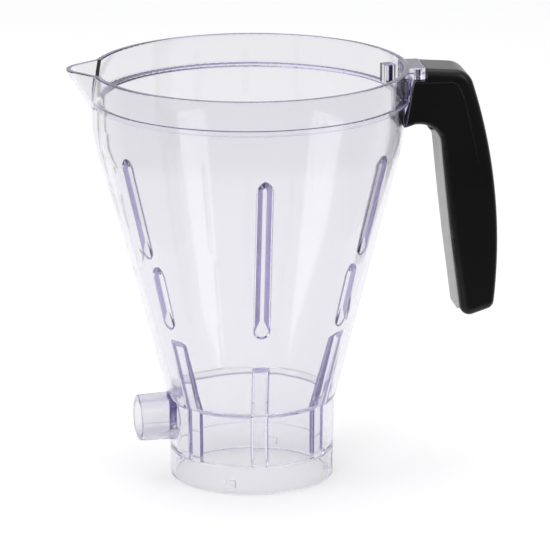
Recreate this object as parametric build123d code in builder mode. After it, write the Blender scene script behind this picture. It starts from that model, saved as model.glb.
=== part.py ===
import os
from math import atan, cos, radians, sin, tan

from build123d import *

# Driving dimensions, in millimetres and degrees.
# The handle points along +X and the pouring spout about along -X.

# Jug wall
jug_height = 200
rim_radius = 75
wall = 2.6
band_height = 16.2
band_step = 2.1
ledge_thickness = 2
shoulder_drop = 16.8
shoulder_blend = 60
rim_round = 0.5
edge_round = 0.5

# Base collar and the socket for the blade unit
collar_height = 40
collar_radius = 39.4
collar_draft = 0.6
cone_overhang = 0.7
foot_round = 1.2
seat_height = 14
socket_wall = 2.4
neck_wall = 3.4
neck_blend = 3
groove_depth = 0.5
groove_width = 1.4
lug_count = 4
lug_start = 66
lug_width = 5
lug_depth = 1.5
lug_height = 3.6
lug_low = 3

# Pouring spout and the channel that runs down from it
spout_angle = 174
spout_side_angle = 45
spout_overhang = 11.9
spout_nose = 12.6
spout_drop = 3.5
channel_foot_half = 5.9
channel_proud = 1.6
channel_drop = 67

# Tap stub low on the spout side
spigot_angle = 186
spigot_axis_height = 31
spigot_radius = 11.7
spigot_taper = 2
spigot_wall = 3.3
spigot_length = 16.8
spigot_round = 0.8

# Ribs inside the jug, with heights above the collar
rib_angles = {"left": -152, "front": -92, "right": -36.5}
rib_foot_turns = {"left": 4.5, "right": -5}
rib_top_drops = {"left": 0.5, "front": 4.7, "right": 1.2}
rib_rise = 40.5
rib_gap_rise = 74.5
rib_gap = 2
rib_width = 8.4
rib_step_width = 6.4
rib_step_depth = 1.2
rib_crest = 1.8
rib_depth = 2.5
rib_sink = 1
rib_point = 6.3
rib_step_run = 1.2
rib_top_run = 4.6
rib_foot_run = 9
low_rib_angles = {"left": -144.5, "front": -92, "right": -40}
low_rib_rises = {"left": 36.7, "front": 26.8, "right": 39}
low_rib_width = 7.4
low_rib_depth = 3
low_rib_edge = 1
low_rib_slope = 4

# Lugs on the inner ledge that hold the lid
lid_lug_turn = 15
lid_lug_width = 7
lid_lug_depth = 3.5
lid_lug_height = 9

# Handle bracket moulded on the jug: a sloped pad with a tongue on top
pad_width = 20
pad_drop = 30
pad_proud = 1.6
pad_lean = 3.8
tongue_length = 5.7
tongue_thickness = 5.8
tongue_drop = 1.2
tongue_round = 0.8

# Handle, drawn in the XZ plane and as wide as handle_width across it.
# Its reaches are counted from the tongue's end and its rises from its toe.
handle_width = 26.4
handle_fit = 0.2
handle_drop = 0.4
handle_length = 123.2
handle_top_fall = 1.5
handle_corner = 9.5
back_radius = 262
back_overhang = 35.3
back_middle_rise = 35
back_low_rise = 5
grip_low_overhang = 18.1
grip_middle_overhang = 10.9
grip_middle_rise = 54
grip_top_overhang = 6.8
grip_bend = 11
grip_bow = 1400
grip_round = 3.6
grip_wall = 2.2
toe_round = 4.6
arm_thickness = 27
gusset_run = 4.4
hollow_low_rise = 8
hollow_drop = 5
panel_depth = 1
panel_length = 50.4
panel_border = 7
panel_corner = 5
panel_slope = 45

# Light strip let into the inside of the grip
strip_width = 18
strip_thickness = 2.2
strip_proud = 1.4
strip_round = 1.2
strip_fit = 0.15
strip_low_rise = 4.5
strip_drop = 3.2
strip_ledge = 2

# Screw that ties the handle to the tongue
screw_inset = 3
screw_radius = 1.5
screw_head_radius = 3.2
screw_head_height = 2.4
screw_seat_rise = 10.6
screw_cover = 2.2
screw_fit = 0.1

# Sizes that follow for the jug
band_bottom = jug_height - band_height
ledge_height = band_bottom + ledge_thickness
shoulder_height = band_bottom - shoulder_drop
shoulder_radius = rim_radius - band_step
cone_foot_radius = collar_radius + collar_draft + cone_overhang
cone_slope = (shoulder_radius - cone_foot_radius) / (shoulder_height - collar_height)
cone_angle = atan(cone_slope)
level_wall = wall / cos(cone_angle)
inner_shoulder_height = shoulder_height + (level_wall - wall) / cone_slope
socket_radius = collar_radius - socket_wall
neck_radius = collar_radius - neck_wall
cone_start = collar_height + neck_blend / 3
neck_top = cone_start - neck_blend
spout_reach = rim_radius + spout_overhang
spout_low = band_bottom - spout_drop
spout_side = radians(spout_side_angle)
spout_back = rim_radius / 2
channel_foot = shoulder_height - channel_drop
channel_axis = cone_foot_radius + (channel_foot - collar_height) * cone_slope - channel_foot_half
spigot_bore = spigot_radius - spigot_wall
spigot_reach = collar_radius + spigot_length
rib_bottom = collar_height + rib_rise
rib_gap_height = collar_height + rib_gap_rise
cut_over = 1

# Sizes that follow for the handle and its bracket
pad_bottom = jug_height - pad_drop
pad_top_reach = rim_radius + pad_proud
pad_bottom_reach = pad_top_reach - pad_lean
tongue_reach = pad_top_reach + tongue_length
tongue_top = jug_height - tongue_drop
tongue_bottom = tongue_top - tongue_thickness
handle_top = tongue_top - handle_drop
arm_under = handle_top - arm_thickness
gusset_reach = pad_bottom_reach + handle_fit + gusset_run
back_reach = tongue_reach + back_overhang
back_high = handle_top - handle_top_fall
grip_low = handle_top - handle_length
back_low = grip_low + back_low_rise
back_middle = grip_low + back_middle_rise
grip_low_reach = tongue_reach + grip_low_overhang
grip_middle_reach = tongue_reach + grip_middle_overhang
grip_middle = grip_low + grip_middle_rise
grip_top_reach = tongue_reach + grip_top_overhang
hollow_low = grip_low + hollow_low_rise
hollow_top = arm_under - hollow_drop
panel_top = handle_top - panel_border
panel_end = handle_top - panel_length
strip_low = grip_low + strip_low_rise
strip_top = arm_under - strip_drop
strip_clip = 2 * grip_middle_overhang
screw_reach = tongue_reach - screw_inset
screw_seat = arm_under + screw_seat_rise
screw_top = tongue_top - screw_cover


def cone_outer(height):
    return cone_foot_radius + (height - collar_height) * cone_slope


def cone_inner(height):
    return cone_outer(height) - level_wall


def spout_reach_at(height):
    low_reach = shoulder_radius + channel_proud
    return low_reach + (spout_reach - low_reach) * (height - spout_low) / (jug_height - spout_low)


def polar_plane(angle, height=0):
    # A plane through the jug's axis: x is outwards, y is up
    outwards = (cos(radians(angle)), sin(radians(angle)), 0)
    across = (sin(radians(angle)), -cos(radians(angle)), 0)
    return Plane(origin=(0, 0, height), x_dir=outwards, z_dir=across)


def level_plane(angle, height):
    outwards = (cos(radians(angle)), sin(radians(angle)), 0)
    return Plane(origin=(0, 0, height), x_dir=outwards, z_dir=(0, 0, 1))


def rib_foot_plane(angle, low, high):
    # A plane just under the cone's inner face, with x up the cone and z towards the jug's axis
    flat = polar_plane(angle)
    middle = (low + high) / 2
    up_cone = flat.x_dir * sin(cone_angle) + Vector(0, 0, cos(cone_angle))
    inwards = Vector(0, 0, sin(cone_angle)) - flat.x_dir * cos(cone_angle)
    on_wall = flat.x_dir * cone_inner(middle) + Vector(0, 0, middle)
    return Plane(origin=on_wall - inwards * rib_sink, x_dir=up_cone, z_dir=inwards)


def rib_outline(low, high, width):
    # A long shape with a round foot and a pointed top
    half = width / 2
    shoulder = high - rib_point * width / rib_width
    ThreePointArc((low + half, -half), (low, 0), (low + half, half))
    Line((low + half, half), (shoulder, half))
    TangentArc((shoulder, half), (high, 0), tangent=(1, 0))
    TangentArc((shoulder, -half), (high, 0), tangent=(1, 0))
    Line((low + half, -half), (shoulder, -half))


def spout_outline(height, inset):
    # A V with a round nose, further out the higher it is
    nose_radius = spout_nose - inset
    corner = spout_reach_at(height) - inset + nose_radius * (1 / sin(spout_side) - 1)
    back = corner - spout_back
    half = spout_back * tan(spout_side)
    FilletPolyline((back, half), (corner, 0), (back, -half), radius=[0, nose_radius, 0], close=True)


def back_at(height, inset=0):
    # The handle's back is one shallow arc
    radius = back_radius - inset
    return back_reach - back_radius + (radius**2 - (height - back_middle) ** 2) ** 0.5


def handle_outline():
    ThreePointArc(
        (back_at(back_low), back_low),
        (back_reach, back_middle),
        (back_at(back_high), back_high),
    )
    FilletPolyline(
        (back_at(back_high), back_high),
        (tongue_reach + handle_fit, handle_top),
        (tongue_reach + handle_fit, tongue_bottom - handle_fit),
        (pad_top_reach + handle_fit, tongue_bottom - handle_fit),
        (pad_bottom_reach + handle_fit, pad_bottom),
        (gusset_reach, arm_under),
        (grip_top_reach, arm_under),
        (grip_middle_reach, grip_middle),
        (grip_low_reach, grip_low),
        (back_at(back_low), back_low),
        radius=[0, 0, 0, 0, 0, grip_bend, grip_bow, toe_round],
    )


def round_back_corners(outline):
    for height, radius in ((back_low, toe_round), (back_high, handle_corner)):
        corner = (back_at(height), height)
        fillet(outline.vertices().sort_by_distance(corner)[0], radius)


with BuildPart() as jug_body:
    # Outer form of the jug, turned about its axis
    with BuildSketch(Plane.XZ):
        with BuildLine():
            FilletPolyline(
                (0, 0),
                (collar_radius, 0),
                (collar_radius, seat_height - groove_width / 2),
                (collar_radius - groove_depth, seat_height),
                (collar_radius, seat_height + groove_width / 2),
                (collar_radius + collar_draft, collar_height),
                (cone_foot_radius, collar_height),
                (shoulder_radius, shoulder_height),
                (shoulder_radius, band_bottom),
                (rim_radius, band_bottom),
                (rim_radius, jug_height),
                (0, jug_height),
                radius=[0, foot_round, 0, 0, 0, 0, 0, shoulder_blend, edge_round, edge_round, 0, 0],
                close=True,
            )
        make_face()
    revolve(axis=Axis.Z)
    # Channel below the spout, turned about an axis of its own
    channel_plane = polar_plane(spout_angle)
    channel_line = Axis(channel_plane.from_local_coords((channel_axis, 0)), (0, 0, 1))
    with BuildSketch(channel_plane):
        with BuildLine():
            FilletPolyline(
                (channel_axis, channel_foot),
                (cone_outer(channel_foot), channel_foot),
                (shoulder_radius + channel_proud, shoulder_height),
                (shoulder_radius + channel_proud, band_bottom),
                (channel_axis, band_bottom),
                radius=[0, 0, shoulder_blend, 0, 0],
                close=True,
            )
        make_face()
    revolve(axis=channel_line)
    # Outside of the spout
    for height in (spout_low, jug_height):
        with BuildSketch(level_plane(spout_angle, height)):
            with BuildLine():
                spout_outline(height, 0)
            make_face()
    loft(ruled=True)
    # Tap stub
    stub_out = polar_plane(spigot_angle).x_dir
    stub_middle = Vector(0, 0, spigot_axis_height)
    stub_root = neck_radius + wall / 4
    with BuildSketch(Plane(origin=stub_middle + stub_out * stub_root, z_dir=stub_out)):
        Circle(spigot_radius)
    extrude(amount=spigot_reach - stub_root, taper=spigot_taper)
    # Pad and tongue that carry the handle
    with BuildSketch(Plane.XZ):
        with BuildLine():
            Polyline(
                (neck_radius, pad_bottom),
                (pad_bottom_reach, pad_bottom),
                (pad_top_reach, tongue_bottom),
                (tongue_reach, tongue_bottom),
                (tongue_reach, tongue_top),
                (neck_radius, tongue_top),
                close=True,
            )
        make_face()
    extrude(amount=pad_width / 2, both=True)
    # Inside of the jug, from the socket up to the rim
    with BuildSketch(Plane.XZ):
        with BuildLine():
            FilletPolyline(
                (0, -cut_over),
                (socket_radius, -cut_over),
                (socket_radius, seat_height),
                (neck_radius, seat_height),
                (neck_radius, neck_top),
                (cone_inner(cone_start), cone_start),
                (shoulder_radius - wall, inner_shoulder_height),
                (shoulder_radius - wall, ledge_height),
                (rim_radius - wall, ledge_height),
                (rim_radius - wall, jug_height + cut_over),
                (0, jug_height + cut_over),
                radius=[
                    0, 0, edge_round, edge_round, 0, 0,
                    shoulder_blend - wall, edge_round, edge_round, 0, 0,
                ],
                close=True,
            )
        make_face()
    revolve(axis=Axis.Z, mode=Mode.SUBTRACT)
    # Inside of the channel
    with BuildSketch(channel_plane):
        with BuildLine():
            FilletPolyline(
                (channel_axis, channel_foot),
                (cone_inner(channel_foot), channel_foot),
                (shoulder_radius + channel_proud - wall, shoulder_height),
                (shoulder_radius + channel_proud - wall, ledge_height),
                (channel_axis, ledge_height),
                radius=[0, 0, shoulder_blend - wall, 0, 0],
                close=True,
            )
        make_face()
    revolve(axis=channel_line, mode=Mode.SUBTRACT)
    # Inside of the spout
    for height in (spout_low + ledge_thickness, jug_height + cut_over):
        with BuildSketch(level_plane(spout_angle, height)):
            with BuildLine():
                spout_outline(height, wall)
            make_face()
    loft(ruled=True, mode=Mode.SUBTRACT)
    # Bore of the tap stub
    bore_start = neck_radius - spigot_radius / 2
    with BuildSketch(Plane(origin=stub_middle + stub_out * bore_start, z_dir=stub_out)):
        Circle(spigot_bore)
    extrude(amount=spigot_reach - bore_start + cut_over, mode=Mode.SUBTRACT)
    # Rounded lips on the rim, the stub and the tongue
    fillet(jug_body.faces().filter_by(Axis.Z).sort_by(Axis.Z)[-1].edges(), rim_round)
    stub_end = stub_middle + stub_out * spigot_reach
    stub_face = jug_body.faces().filter_by(GeomType.PLANE).sort_by_distance(stub_end)[0]
    fillet(stub_face.edges(), spigot_round)
    fillet(jug_body.faces().sort_by(Axis.X)[-1].edges(), tongue_round)
    # Pilot hole for the screw, up into the tongue
    with BuildSketch(Plane.XY.offset(pad_bottom)):
        with Locations((screw_reach, 0)):
            Circle(screw_radius + screw_fit)
    extrude(amount=screw_top + screw_fit - pad_bottom, mode=Mode.SUBTRACT)
    # Upper ribs: a steep foot, sloped sides and a narrow crest, broken in two at the sides
    for side, angle in rib_angles.items():
        rib_top = shoulder_height - rib_top_drops[side]
        spans = [(angle, rib_bottom, rib_top)]
        if side != "front":
            spans = [
                (angle + rib_foot_turns[side], rib_bottom, rib_gap_height - rib_gap / 2),
                (angle, rib_gap_height + rib_gap / 2, rib_top),
            ]
        for turn, low, high in spans:
            foot = rib_foot_plane(turn, low, high)
            end = (high - low) / cos(cone_angle) / 2
            levels = [
                (0, -end, end, rib_width),
                (rib_sink + rib_step_depth, rib_step_run - end, end - rib_step_run, rib_step_width),
                (rib_sink + rib_depth, rib_foot_run - end, end - rib_top_run, rib_crest),
            ]
            for rise, start, stop, width in levels:
                with BuildSketch(foot.offset(rise)):
                    with BuildLine():
                        rib_outline(start, stop, width)
                    make_face()
            loft(ruled=True)
    # Lower ribs: straight down the cone's foot and the collar
    for side, angle in low_rib_angles.items():
        top = collar_height + low_rib_rises[side]
        crest = top - low_rib_slope
        with BuildSketch(polar_plane(angle)):
            with BuildLine():
                Polyline(
                    (neck_radius + rib_sink, seat_height),
                    (neck_radius - low_rib_depth, seat_height),
                    (neck_radius - low_rib_depth, neck_top),
                    (cone_inner(crest) - low_rib_depth, crest),
                    (cone_inner(top) + rib_sink, top),
                    (cone_inner(cone_start) + rib_sink, cone_start),
                    (neck_radius + rib_sink, neck_top),
                    close=True,
                )
            make_face()
        extrude(amount=low_rib_width / 2, both=True)
        crest_edges = [
            jug_body.edges().sort_by_distance(polar_plane(angle).from_local_coords((reach, height, half)))[0]
            for reach, height in (
                (neck_radius - low_rib_depth, (seat_height + neck_top) / 2),
                ((neck_radius + cone_inner(crest)) / 2 - low_rib_depth, (neck_top + crest) / 2),
            )
            for half in (-low_rib_width / 2, low_rib_width / 2)
        ]
        chamfer(crest_edges, low_rib_edge)
    # Lugs in the socket that lock the blade unit
    with BuildSketch(Plane.XY.offset(lug_low)):
        with PolarLocations(socket_radius, lug_count, start_angle=lug_start):
            Rectangle(2 * lug_depth, lug_width)
    extrude(amount=lug_height)
    # Lugs on the ledge that hold the lid
    with BuildSketch(Plane.XY.offset(ledge_height)):
        with PolarLocations(rim_radius - wall, 2, start_angle=-lid_lug_turn, angular_range=4 * lid_lug_turn):
            Rectangle(2 * lid_lug_depth, lid_lug_width)
    extrude(amount=lid_lug_height)
jug_body.part.label = "jug_body"

with BuildPart() as handle_shell:
    with BuildSketch(Plane.XZ) as shell_outline:
        with BuildLine():
            handle_outline()
        make_face()
        round_back_corners(shell_outline)
    extrude(amount=handle_width / 2, both=True)
    # Rounded edges, all but those that meet the bracket
    side_edges = handle_shell.faces().filter_by(Axis.Y).edges()
    free_edges = side_edges.filter_by(
        lambda edge: edge.center().X > tongue_reach + handle_fit or edge.center().Z < arm_under + handle_fit
    )
    fillet(free_edges, grip_round)
    # Shallow panels that fade out down the sides
    panel_middle = (panel_top + panel_end) / 2
    for side in (-1, 1):
        panel_plane = Plane(
            origin=(0, side * handle_width / 2, panel_end),
            x_dir=(-side, 0, 0),
            z_dir=(0, side * (handle_top - panel_end), panel_depth),
        )
        low_back, middle_back, top_back = [
            (-side * back_at(height, panel_border), height - panel_end)
            for height in (panel_end, panel_middle, panel_top)
        ]
        root = -side * pad_bottom_reach
        with BuildSketch(panel_plane) as panel:
            with BuildLine():
                ThreePointArc(low_back, middle_back, top_back)
                Polyline(top_back, (root, panel_top - panel_end), (root, 0), low_back)
            make_face()
            fillet(panel.vertices().sort_by_distance(top_back)[0], panel_corner)
        extrude(amount=2 * panel_depth, taper=-panel_slope, mode=Mode.SUBTRACT)
    # Recess for the strip
    with BuildSketch(Plane.XZ) as recess:
        with BuildLine():
            handle_outline()
        make_face()
        round_back_corners(recess)
        offset(amount=-strip_thickness - strip_fit, kind=Kind.INTERSECTION, mode=Mode.SUBTRACT)
        with Locations((grip_middle_reach, (strip_low + strip_top) / 2)):
            Rectangle(strip_clip, strip_top - strip_low + 2 * strip_fit, mode=Mode.INTERSECT)
    extrude(amount=strip_width / 2 + strip_fit, both=True, mode=Mode.SUBTRACT)
    # Hollow behind the strip
    with BuildSketch(Plane.XZ) as hollow:
        with BuildLine():
            handle_outline()
        make_face()
        round_back_corners(hollow)
        offset(amount=-grip_wall, kind=Kind.INTERSECTION, mode=Mode.REPLACE)
        with Locations((back_reach, (hollow_low + hollow_top) / 2)):
            Rectangle(back_reach, hollow_top - hollow_low, mode=Mode.INTERSECT)
    extrude(amount=strip_width / 2 - strip_ledge, both=True, mode=Mode.SUBTRACT)
    # Stepped hole for the screw, from under the arm
    with BuildSketch(Plane.XY.offset(screw_seat)):
        with Locations((screw_reach, 0)):
            Circle(screw_head_radius + screw_fit)
    extrude(amount=pad_bottom - screw_seat, mode=Mode.SUBTRACT)
    with BuildSketch(Plane.XY.offset(screw_seat)):
        with Locations((screw_reach, 0)):
            Circle(screw_radius + screw_fit)
    extrude(amount=tongue_bottom - screw_seat, mode=Mode.SUBTRACT)
handle_shell.part.label = "handle_shell"

with BuildPart() as handle_strip:
    strip_middle = (grip_middle_reach, (strip_low + strip_top) / 2)
    # The part that stands proud of the grip
    with BuildSketch(Plane.XZ) as strip_front:
        with BuildLine():
            handle_outline()
        make_face()
        round_back_corners(strip_front)
        offset(amount=strip_proud, kind=Kind.INTERSECTION, mode=Mode.REPLACE)
        with BuildLine():
            handle_outline()
        make_face(mode=Mode.SUBTRACT)
        with Locations(strip_middle):
            Rectangle(strip_clip, strip_top - strip_low, mode=Mode.INTERSECT)
    extrude(amount=strip_width / 2, both=True)
    front_faces = handle_strip.faces().filter_by(lambda face: face.normal_at().X < -0.5)
    long_edges = front_faces.edges().filter_by(lambda edge: abs(edge.center().Y) > strip_width / 4)
    fillet(long_edges, strip_round)
    # The part that fills the recess
    with BuildSketch(Plane.XZ) as strip_back:
        with BuildLine():
            handle_outline()
        make_face()
        round_back_corners(strip_back)
        offset(amount=-strip_thickness, kind=Kind.INTERSECTION, mode=Mode.SUBTRACT)
        with Locations(strip_middle):
            Rectangle(strip_clip, strip_top - strip_low, mode=Mode.INTERSECT)
    extrude(amount=strip_width / 2, both=True)
handle_strip.part.label = "handle_strip"

with BuildPart() as handle_screw:
    with BuildSketch(Plane.XY.offset(screw_seat)):
        with Locations((screw_reach, 0)):
            Circle(screw_head_radius)
    extrude(amount=-screw_head_height)
    with BuildSketch(Plane.XY.offset(screw_seat)):
        with Locations((screw_reach, 0)):
            Circle(screw_radius)
    extrude(amount=screw_top - screw_seat)
handle_screw.part.label = "handle_screw"

os.makedirs("parts", exist_ok=True)
for piece in (jug_body, handle_shell, handle_strip, handle_screw):
    export_step(piece.part, f"parts/{piece.part.label}.step")
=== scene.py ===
import math

import bmesh
import bpy
from mathutils import Matrix, Vector

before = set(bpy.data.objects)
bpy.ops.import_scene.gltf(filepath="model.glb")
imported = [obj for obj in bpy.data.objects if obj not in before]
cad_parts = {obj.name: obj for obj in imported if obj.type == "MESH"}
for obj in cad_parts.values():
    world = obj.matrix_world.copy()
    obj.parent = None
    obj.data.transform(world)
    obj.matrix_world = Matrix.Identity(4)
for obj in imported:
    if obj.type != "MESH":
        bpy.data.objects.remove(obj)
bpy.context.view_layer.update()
scene = bpy.context.scene
print("frame loaded:", ", ".join(sorted(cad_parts)))


# Node maths: an expression on wrapped sockets adds its Math nodes
class Wire:
    def __init__(self, tree, socket=None):
        self.tree = tree
        self.socket = socket

    def add(self, kind, settings=None, values=None, out=0):
        node = self.tree.nodes.new(kind)
        for name, value in (settings or {}).items():
            if name == "stops":
                ramp = node.color_ramp
                while len(ramp.elements) < len(value):
                    ramp.elements.new(1)
                for element, (place, colour) in zip(ramp.elements, value):
                    element.position = place
                    element.color = colour
            else:
                setattr(node, name, value)
        for name, value in (values or {}).items():
            if isinstance(value, Wire):
                self.tree.links.new(value.socket, node.inputs[name])
            else:
                node.inputs[name].default_value = value
        return Wire(self.tree, node.outputs[out]) if node.outputs else node

    def maths(self, operation, first, second):
        return self.add("ShaderNodeMath", {"operation": operation}, {0: first, 1: second})

    def __add__(self, other):
        return self.maths("ADD", self, other)

    __radd__ = __add__

    def __mul__(self, other):
        return self.maths("MULTIPLY", self, other)

    __rmul__ = __mul__

    def __sub__(self, other):
        return self.maths("SUBTRACT", self, other)

    def __rsub__(self, other):
        return self.maths("SUBTRACT", other, self)

    def __abs__(self):
        return self.maths("ABSOLUTE", self, 0)

    def clamped(self):
        return self.add("ShaderNodeClamp", None, {"Value": self})

    def vector(self, operation, first, second=(0, 0, 0), out="Vector"):
        return self.add("ShaderNodeVectorMath", {"operation": operation}, {0: first, 1: second}, out)

    def dot(self, first, second):
        return self.vector("DOT_PRODUCT", first, second, "Value")

    def noise(self, coords, scale, detail):
        return self.add("ShaderNodeTexNoise", None, {"Vector": coords, "Scale": scale, "Detail": detail})


def newMaterial(name):
    material = bpy.data.materials.new(name)
    material.use_nodes = True
    material.node_tree.nodes.clear()
    return material, Wire(material.node_tree)


def dress(piece, material):
    piece.data.materials.clear()
    piece.data.materials.append(material)


# Clear plastic of the jug
clearSet = {
    "tint": (0.916, 0.913, 0.925, 1),
    # the darker violet of the painted shade on edges, rib sides, rim and ledges
    "paintedEdgeShade": (0.15, 0.115, 0.31, 1),
    "edgeReach": 0.0012,
    "edgeSamples": 4,
    "edgeGain": 4,
    "flankStart": 0.95,
    "flankGain": 8,
    "flankTop": 0.166,
    "fade": 400,
    "levelStart": 0.6,
    "levelGain": 4,
    "levelFall": 0.72,
    "stubStart": 0.0362,
    "stubFade": 2000,
    "stubTop": 0.046,
    "footStart": 0.014,
    "ior": 1.53,
    "depthTint": (0.56, 0.5, 0.84, 1),
    "density": 14,
    "polish": 0.015,
    "haze": 0.05,
    "hazeScale": 46,
    "hazeDetail": 5,
    "hazeBlend": 0.6,
    "flowScale": 24,
    "flowDetail": 2,
    "flowDepth": 0.000008,
}


# Painted shade: a darker violet painted into the clear plastic's colour at its edges, the sides of the ribs,
# the rim and the ledges, where the plastic looks violet
def paintedShadeMask(wire, coords, s):
    plain = wire.add("ShaderNodeNewGeometry", out="Normal")
    rounded = wire.add("ShaderNodeBevel", {"samples": s["edgeSamples"]}, {"Radius": s["edgeReach"]})
    flat = wire.vector("MULTIPLY", coords, (1, 1, 0))
    outward = wire.vector("NORMALIZE", flat)
    radius = wire.vector("LENGTH", flat, out="Value")
    height = wire.dot(coords, (0, 0, 1))
    lean = abs(wire.dot(outward, plain))
    upright = abs(wire.dot(plain, (0, 0, 1)))
    ridge = ((1 - wire.dot(plain, rounded)) * s["edgeGain"]).clamped()
    flank = ((s["flankStart"] - lean) * s["flankGain"]).clamped()
    ledge = ((upright - s["levelStart"]) * s["levelGain"]).clamped()
    above = ((height - s["footStart"]) * s["fade"]).clamped()
    below = ((s["flankTop"] - height) * s["fade"]).clamped()
    low = ((s["stubTop"] - height) * s["fade"]).clamped()
    outside = ((radius - s["stubStart"]) * s["stubFade"]).clamped()
    ribs = flank * below * (1 - outside * low)
    steps = ledge * (1 - below * s["levelFall"])
    return wire.maths("MAXIMUM", ridge, wire.maths("MAXIMUM", ribs, steps)) * above


def makeClearPlastic(s):
    material, wire = newMaterial("clearPlastic")
    coords = wire.add("ShaderNodeTexCoord", out="Object")
    rub = wire.add("ShaderNodeTexNoise", None, {
        "Vector": coords,
        "Scale": s["hazeScale"],
        "Detail": s["hazeDetail"],
        "Roughness": s["hazeBlend"],
    })
    flow = wire.noise(coords, s["flowScale"], s["flowDetail"])
    wave = wire.add("ShaderNodeBump", None, {"Strength": 1, "Distance": s["flowDepth"], "Height": flow})
    paintedShadeAmount = paintedShadeMask(wire, coords, s)
    # mixes the painted violet shade into the clear plastic's colour where the mask is high
    tone = wire.add("ShaderNodeMix", {"data_type": "RGBA"}, {0: paintedShadeAmount, 6: s["tint"], 7: s["paintedEdgeShade"]}, out=2)
    shader = wire.add("ShaderNodeBsdfPrincipled", None, {
        "Base Color": tone,
        "Roughness": rub * s["haze"] + s["polish"],
        "IOR": s["ior"],
        "Transmission Weight": 1,
        "Normal": wave,
    })
    depth = wire.add("ShaderNodeVolumeAbsorption", None, {"Color": s["depthTint"], "Density": s["density"]})
    wire.add("ShaderNodeOutputMaterial", None, {"Surface": shader, "Volume": depth})
    return material


# Satin black of the handle
blackSet = {
    "colour": (0.0012, 0.0012, 0.0013, 1),
    "worn": (0.002, 0.002, 0.0021, 1),
    "grainScale": 1600,
    "grainDetail": 3,
    "grainDepth": 0.00002,
    "grainStrength": 0.6,
    "rough": 0.24,
    "gloss": 0.3,
    "roughSpread": 0.12,
    "patchScale": 30,
    "patchDetail": 4,
}


def makeBlackPlastic(s):
    material, wire = newMaterial("blackPlastic")
    coords = wire.add("ShaderNodeTexCoord", out="Object")
    grain = wire.noise(coords, s["grainScale"], s["grainDetail"])
    patch = wire.noise(coords, s["patchScale"], s["patchDetail"])
    tone = wire.add("ShaderNodeMix", {"data_type": "RGBA"}, {0: patch, 6: s["colour"], 7: s["worn"]}, out=2)
    pits = wire.add("ShaderNodeBump", None, {
        "Strength": s["grainStrength"],
        "Distance": s["grainDepth"],
        "Height": grain,
    })
    shader = wire.add("ShaderNodeBsdfPrincipled", None, {
        "Base Color": tone,
        "Roughness": patch * s["roughSpread"] + s["rough"],
        "Specular IOR Level": s["gloss"],
        "Normal": pits,
    })
    wire.add("ShaderNodeOutputMaterial", None, {"Surface": shader})
    return material


# Light grey of the grip strip
greySet = {
    "colour": (0.68, 0.68, 0.665, 1),
    "fleck": (0.6, 0.6, 0.585, 1),
    "grainScale": 900,
    "grainDetail": 4,
    "grainDepth": 0.00005,
    "grainStrength": 0.8,
    "rough": 0.5,
    "roughSpread": 0.15,
}


def makeGreyPlastic(s):
    material, wire = newMaterial("greyPlastic")
    coords = wire.add("ShaderNodeTexCoord", out="Object")
    grain = wire.noise(coords, s["grainScale"], s["grainDetail"])
    tone = wire.add("ShaderNodeMix", {"data_type": "RGBA"}, {0: grain, 6: s["colour"], 7: s["fleck"]}, out=2)
    pits = wire.add("ShaderNodeBump", None, {
        "Strength": s["grainStrength"],
        "Distance": s["grainDepth"],
        "Height": grain,
    })
    shader = wire.add("ShaderNodeBsdfPrincipled", None, {
        "Base Color": tone,
        "Roughness": grain * s["roughSpread"] + s["rough"],
        "Normal": pits,
    })
    wire.add("ShaderNodeOutputMaterial", None, {"Surface": shader})
    return material


# Plated steel of the screw
steelSet = {
    "colour": (0.6, 0.6, 0.61, 1),
    "turnScale": 700,
    "turnDetail": 3,
    "rough": 0.28,
    "roughSpread": 0.2,
}


def makeSteel(s):
    material, wire = newMaterial("platedSteel")
    coords = wire.add("ShaderNodeTexCoord", out="Object")
    turned = wire.noise(coords, s["turnScale"], s["turnDetail"])
    shader = wire.add("ShaderNodeBsdfPrincipled", None, {
        "Base Color": s["colour"],
        "Metallic": 1,
        "Roughness": turned * s["roughSpread"] + s["rough"],
    })
    wire.add("ShaderNodeOutputMaterial", None, {"Surface": shader})
    return material


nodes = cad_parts
dress(nodes["jug_body"], makeClearPlastic(clearSet))
dress(nodes["handle_shell"], makeBlackPlastic(blackSet))
dress(nodes["handle_strip"], makeGreyPlastic(greySet))
dress(nodes["handle_screw"], makeSteel(steelSet))
print("materials made")


# Camera, as far round and as high as in the picture
cameraSet = {
    "azimuth": -7.6,
    "reach": 1.738,
    "height": 0.59,
    "lens": 247.5,
    "sensor": 36,
    "near": 0.05,
    "far": 50,
    "aimSide": 0.01144,
    "aimHeight": 0.0979,
    "roll": -0.186,
}


def makeCamera(s):
    turn = math.radians(s["azimuth"])
    side = Vector((math.cos(turn), math.sin(turn), 0))
    place = Vector((math.sin(turn) * s["reach"], -math.cos(turn) * s["reach"], s["height"]))
    target = side * s["aimSide"] + Vector((0, 0, s["aimHeight"]))
    look = (target - place).to_track_quat("-Z", "Y").to_matrix().to_4x4()
    data = bpy.data.cameras.new("camera")
    data.sensor_width = s["sensor"]
    data.lens = s["lens"]
    data.clip_start = s["near"]
    data.clip_end = s["far"]
    camera = bpy.data.objects.new("camera", data)
    scene.collection.objects.link(camera)
    roll = Matrix.Rotation(math.radians(s["roll"]), 4, "Z")
    camera.matrix_world = Matrix.Translation(place) @ look @ roll
    scene.camera = camera


makeCamera(cameraSet)


# Pale table, longer than wide, that shows white to the camera and keeps the shadow
floorSet = {
    "length": 1.3,
    "width": 0.3,
    "centre": (0.138, 1.031, 0),
    "turn": -7.6,
    "segments": 96,
    "colour": (0.8, 0.8, 0.81, 1),
    "lift": 0.37,
    "liftThrough": 0.31,
}


def rayKinds(wire):
    path = wire.add("ShaderNodeLightPath").socket.node
    kinds = ("Is Camera Ray", "Is Glossy Ray", "Is Transmission Ray")
    return [Wire(wire.tree, path.outputs[kind]) for kind in kinds]


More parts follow.
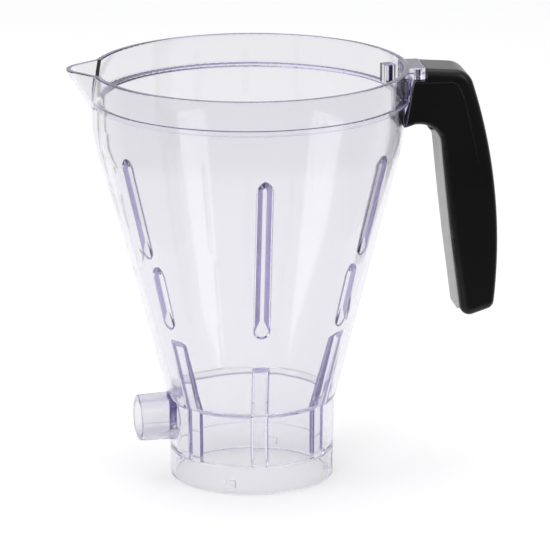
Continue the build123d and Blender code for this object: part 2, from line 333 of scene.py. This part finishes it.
def makeFloor(s):
    material, wire = newMaterial("floorPaint")
    camera, glossy, through = rayKinds(wire)
    direct = wire.maths("MINIMUM", camera + glossy, 1) * (1 - through)
    seen = direct * s["lift"] + through * s["liftThrough"]
    matt = wire.add("ShaderNodeBsdfDiffuse", None, {"Color": s["colour"]})
    glow = wire.add("ShaderNodeEmission", None, {"Color": (1, 1, 1, 1), "Strength": seen})
    both = wire.add("ShaderNodeAddShader", None, {0: matt, 1: glow})
    wire.add("ShaderNodeOutputMaterial", None, {"Surface": both})
    bm = bmesh.new()
    bmesh.ops.create_circle(bm, cap_ends=True, segments=s["segments"], radius=s["length"])
    bmesh.ops.scale(bm, verts=bm.verts, vec=(s["width"], 1, 1))
    bmesh.ops.rotate(bm, verts=bm.verts, matrix=Matrix.Rotation(math.radians(s["turn"]), 3, "Z"))
    bmesh.ops.translate(bm, verts=bm.verts, vec=s["centre"])
    mesh = bpy.data.meshes.new("floor")
    bm.to_mesh(mesh)
    bm.free()
    floor = bpy.data.objects.new("floor", mesh)
    scene.collection.objects.link(floor)
    dress(floor, material)


makeFloor(floorSet)


# Soft studio light: a white backdrop behind and, in mirrors, a dimmer room in front
lightSet = {
    "worldLight": 0.5,
    "aim": (0, 0, 0.1),
    "backdrop": (0.132, 0.991, 0),
    "ceiling": (0, 0, 0.8),
    "ground": (0, 0, -3.6),
    "groundDrop": 1.4,
    "mirrorStops": [(0.0, 0.07), (0.35, 0.1), (0.62, 0.4), (0.85, 1.0)],
    "throughStops": [(0.0, 0.86), (0.3, 0.78), (0.55, 0.7), (0.86, 1.0)],
    "lamps": [
        {"name": "leftBox", "place": (-1.72, -0.46, 1.0), "size": (1.1, 1.4), "power": 8},
        {"name": "rightBox", "place": (1.2, -1.31, 1.0), "size": (0.9, 1.4), "power": 6},
        {"name": "frontFill", "place": (-0.95, -1.5, 0.6), "size": (0.6, 0.6), "power": 8, "mirrored": False},
        {"name": "topBox", "place": (0.1, 0.3, 1.9), "size": (1.6, 1.2), "power": 10},
    ],
}


def greyStops(stops):
    return [(place, (grey, grey, grey, 1)) for place, grey in stops]


def makeLights(s):
    world = bpy.data.worlds.new("studio")
    scene.world = world
    world.use_nodes = True
    world.node_tree.nodes.clear()
    wire = Wire(world.node_tree)
    camera, glossy, through = rayKinds(wire)
    coords = wire.add("ShaderNodeTexCoord", out="Generated")
    behind, above, under = [wire.dot(coords, s[way]) for way in ("backdrop", "ceiling", "ground")]
    high = wire.maths("MAXIMUM", behind, above)
    facing = wire.maths("MAXIMUM", high, under - s["groundDrop"]) * 0.5 + 0.5
    mirror, beyond = [
        wire.add("ShaderNodeValToRGB", {"stops": greyStops(s[name])}, {"Fac": facing})
        for name in ("mirrorStops", "throughStops")
    ]
    plain = (1 - wire.maths("MINIMUM", camera + glossy + through, 1)) * s["worldLight"]
    level = camera + (1 - camera) * (through * beyond + (1 - through) * (glossy * mirror)) + plain
    glow = wire.add("ShaderNodeBackground", None, {"Color": (1, 1, 1, 1), "Strength": level})
    wire.add("ShaderNodeOutputWorld", None, {"Surface": glow})
    for lamp in s["lamps"]:
        data = bpy.data.lights.new(lamp["name"], "AREA")
        data.shape = "RECTANGLE"
        data.size, data.size_y = lamp["size"]
        data.energy = lamp["power"]
        light = bpy.data.objects.new(lamp["name"], data)
        scene.collection.objects.link(light)
        light.location = lamp["place"]
        light.visible_glossy = lamp.get("mirrored", True)
        light.visible_transmission = lamp.get("mirrored", True)
        way = Vector(s["aim"]) - Vector(lamp["place"])
        light.rotation_euler = way.to_track_quat("-Z", "Y").to_euler()


makeLights(lightSet)
scene.view_settings.view_transform = "Standard"
# Light turns many times inside the clear walls
bounceSet = {"all": 32, "mirrored": 24, "through": 32}
scene.cycles.max_bounces = bounceSet["all"]
scene.cycles.glossy_bounces = bounceSet["mirrored"]
scene.cycles.transmission_bounces = bounceSet["through"]
print("camera, floor and lights set")
